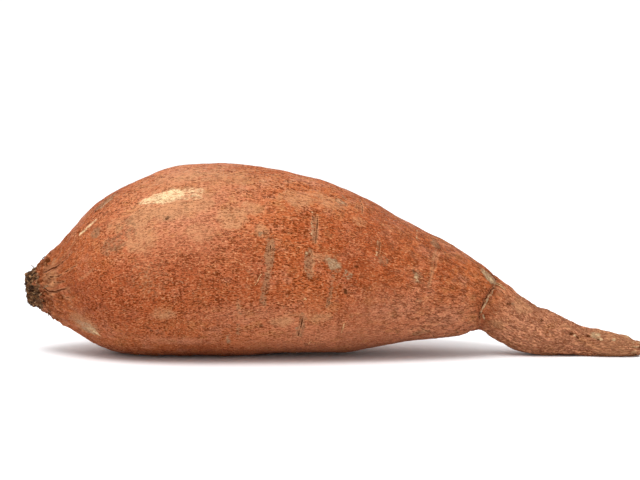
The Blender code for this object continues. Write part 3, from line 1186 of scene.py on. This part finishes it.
def skin_pores(look, place, grain, scaly):
    """The dark strokes, folds and fine creases of the skin, thick in some places and thin in others."""
    wrinkled = look.weight("wrinkled")
    crowd = look.times(look.drift(place, *CROWDING), look.by_layer(wrinkled, *PORES_BY_WRINKLES))
    # fewer pores under the painted rosy light
    crowd = look.times(crowd, look.by_layer(look.weight("rosy_light"), *PORES_BY_ROSY_LIGHT))
    fine = look.larger(strokes(look, grain, *LONG_STROKES), strokes(look, grain, *SHORT_STROKES))
    fine = look.times(look.larger(fine, wavy_creases(look, grain, *FINE_CREASES)), crowd)
    folds = look.times(wavy_creases(look, grain, *FOLDS), look.times(wrinkled, FOLD_SHARE))
    scales = strokes(look, grain, *SCALE_STROKES)
    scales = look.larger(scales, wavy_creases(look, grain, *SCALE_CREASES))
    scales = look.times(scales, look.times(scaly, SCALE_SHARE))
    return look.larger(look.larger(fine, folds), scales)


def shaken(look, weight, noise, reach):
    """A painted weight that noise, which lies round a half, shifts up and down."""
    return look.math("ADD", weight, look.times(look.math("SUBTRACT", noise, 0.5), reach))


def layer_mask(look, name, noise):
    """The painted layer from 0 to 1, its soft edge broken up by noise."""
    ragged, low, high = EDGES[name]
    painted = look.weight(name)
    edge = look.rise(shaken(look, painted, noise, ragged), low, high)
    return look.times(edge, look.rise(painted, 0.0, FAINT))


def stub_colour(look, place):
    """Torn woody tissue: near black, brown and cream in small patches."""
    colour = look.mix(look.drift(place, *STUB_PATCHES), STEM_DARK, STEM_BROWN)
    return look.mix(look.drift(place, *STUB_CRUMBS), colour, STEM_CREAM)


def crack_crest(look, speckle):
    """The painted cracks, made to waver a little, from 0 far away to 1 in the crack."""
    painted = look.weight("crack")
    return look.times(shaken(look, painted, speckle, CRACK_WAVER), look.rise(painted, 0.0, FAINT))


def skin_material():
    look = Look("sweet_potato_skin")
    place = look.place()
    grain = look.attribute("grain").outputs["Vector"]
    scaly = look.weight("scaly")
    speckle = look.noise(place, *SPECKLE)
    blotch = look.noise(place, *BLOTCH)
    fibre = look.noise(grain, *FIBRE)
    masks = {name: layer_mask(look, name, blotch) for name in ("tan", "rust_and_shade")}
    masks.update({name: layer_mask(look, name, speckle) for name in ("grey", "beige", "pale", "dark")})
    crest = crack_crest(look, speckle)
    # the lip: a painted highlight beside each crack
    masks["lip"] = look.rise(crest, *CRACK_LIP_HIGHLIGHT)
    masks["crack"] = look.rise(crest, *CRACK_LINE)
    pores = skin_pores(look, place, grain, scaly)
    pores = look.times(pores, look.by_layer(masks["tan"], *PORES_BY_TAN))
    scab = look.mix(look.rise(fibre, *SCAB_LIGHTS), BEIGE_DULL, BEIGE)
    flesh = look.mix(look.rise(speckle, *FLESH_LIGHTS), PALE_DULL, PALE)
    colour = skin_colour(look, place, grain, fibre, scaly)
    for name, tint in (("tan", TAN), ("rust_and_shade", RUST_AND_SHADE), ("grey", GREY)):
        colour = look.mix(look.times(masks[name], COVER[name]), colour, tint)
    colour = look.mix(pores, colour, PORE)
    # over them: scabs, flesh, eyes, the painted highlight beside the cracks, and the cracks
    for name, tint in (("beige", scab), ("pale", flesh), ("dark", DARK), ("lip", FLECK_AND_HIGHLIGHT), ("crack", CRACK)):
        colour = look.mix(look.times(masks[name], COVER[name]), colour, tint)
    colour = look.mix(layer_mask(look, "stem", speckle), colour, stub_colour(look, place))
    pits = look.larger(pores, look.larger(masks["crack"], masks["dark"]))
    normal = look.bump(look.math("SUBTRACT", look.times(fibre, FIBRE_RELIEF), pits), *SKIN_BUMP)
    roughness = look.rise(speckle, *SKIN_ROUGHNESS)
    return look.done(colour, roughness, look.by_layer(pits, *SKIN_GLOSS), Normal=normal)


def strand_material(name, dark, light):
    """Dry fibre: blotches of two colours, finely streaked."""
    look = Look(name)
    place = look.place()
    blotches = look.noise(place, *STRAND_BLOTCHES)
    colour = look.mix(look.rise(blotches, *STRAND_LIGHTS), dark, light)
    roughness = look.rise(blotches, *STRAND_ROUGHNESS)
    normal = look.bump(look.noise(place, *STRAND_STREAKS), *STRAND_BUMP)
    return look.done(colour, roughness, STRAND_GLOSS, Normal=normal)


# -------------------- studio

WHITE = (1.0, 1.0, 1.0, 1.0)
FLOOR_SIZE = 100.0
FLOOR_COLOUR = (0.895, 0.90, 0.915, 1.0)
FLOOR_ROUGHNESS = 0.9
FLOOR_GLOSS = 0.1
WORLD_SLOPE = (0.08, 0.04, 0.95)  # how much brighter the room is towards +X, +Y and overhead
# Slopes at the horizon and above it, and the brightness added at each
WORLD_HORIZON = (0.04, 0.16, 1.12, 0.51)
KEY_PLACE = (-0.25, -0.42, 0.95)
KEY_AIM = (-0.03, 0.0, 0.03)
KEY_SIZE = (0.7, 0.5)
KEY_WATTS = 7.8


def make_floor():
    bpy.ops.mesh.primitive_plane_add(size=FLOOR_SIZE)
    floor = bpy.context.object
    floor.name = "floor"
    floor.data.materials.append(Look("paper").done(FLOOR_COLOUR, FLOOR_ROUGHNESS, FLOOR_GLOSS))


def add_softbox(name, place, aim, size, watts):
    lamp = bpy.data.lights.new(name, "AREA")
    lamp.shape = "RECTANGLE"
    lamp.size, lamp.size_y = size
    lamp.energy = watts
    box = placed(name, lamp)
    box.location = place
    box.rotation_euler = facing(place, aim)


def light_studio():
    """A white room, brightest overhead and at its horizon, and one large soft light."""
    world = bpy.data.worlds.new("studio")
    nodes = Nodes(world)
    direction = nodes.add("ShaderNodeTexCoord", {}).outputs["Generated"]
    slope = nodes.add("ShaderNodeVectorMath", {0: direction, 1: WORLD_SLOPE}, operation="DOT_PRODUCT")
    horizon = nodes.rise(slope.outputs["Value"], *WORLD_HORIZON, shape="LINEAR")
    background = nodes.tree.nodes["Background"].inputs
    nodes.feed(WHITE, background["Color"])
    nodes.feed(nodes.math("ADD", slope.outputs["Value"], horizon), background["Strength"])
    bpy.context.scene.world = world
    add_softbox("key", KEY_PLACE, KEY_AIM, KEY_SIZE, KEY_WATTS)
    bpy.context.scene.view_settings.view_transform = "Standard"


def add_camera():
    camera = placed("camera", bpy.data.cameras.new("camera"))
    camera.data.lens = CAMERA_LENS
    camera.location = camera_place()
    camera.rotation_euler = facing(camera.location, CAMERA_AIM)
    bpy.context.scene.camera = camera


def build_potato():
    skin = Skin()
    add_unevenness(skin)
    add_wrinkles(skin)
    paint_rosy_light_below_and_on_tail(skin)
    add_waist(skin)
    paint_seen_marks(skin)
    paint_hidden_marks(skin)
    add_rough_ends(skin)
    skin_piece(skin, skin_material())
    hair = strand_material("hair", HAIR_BROWN, HAIR)
    fibre = strand_material("fibre", STEM_DARK, STEM_CREAM)
    show("root_hairs", strands_mesh("root_hairs", hair_strands(skin)), hair)
    show("stem_fibres", strands_mesh("stem_fibres", fibre_strands(skin)), fibre)


build_potato()
make_floor()
light_studio()
add_camera()
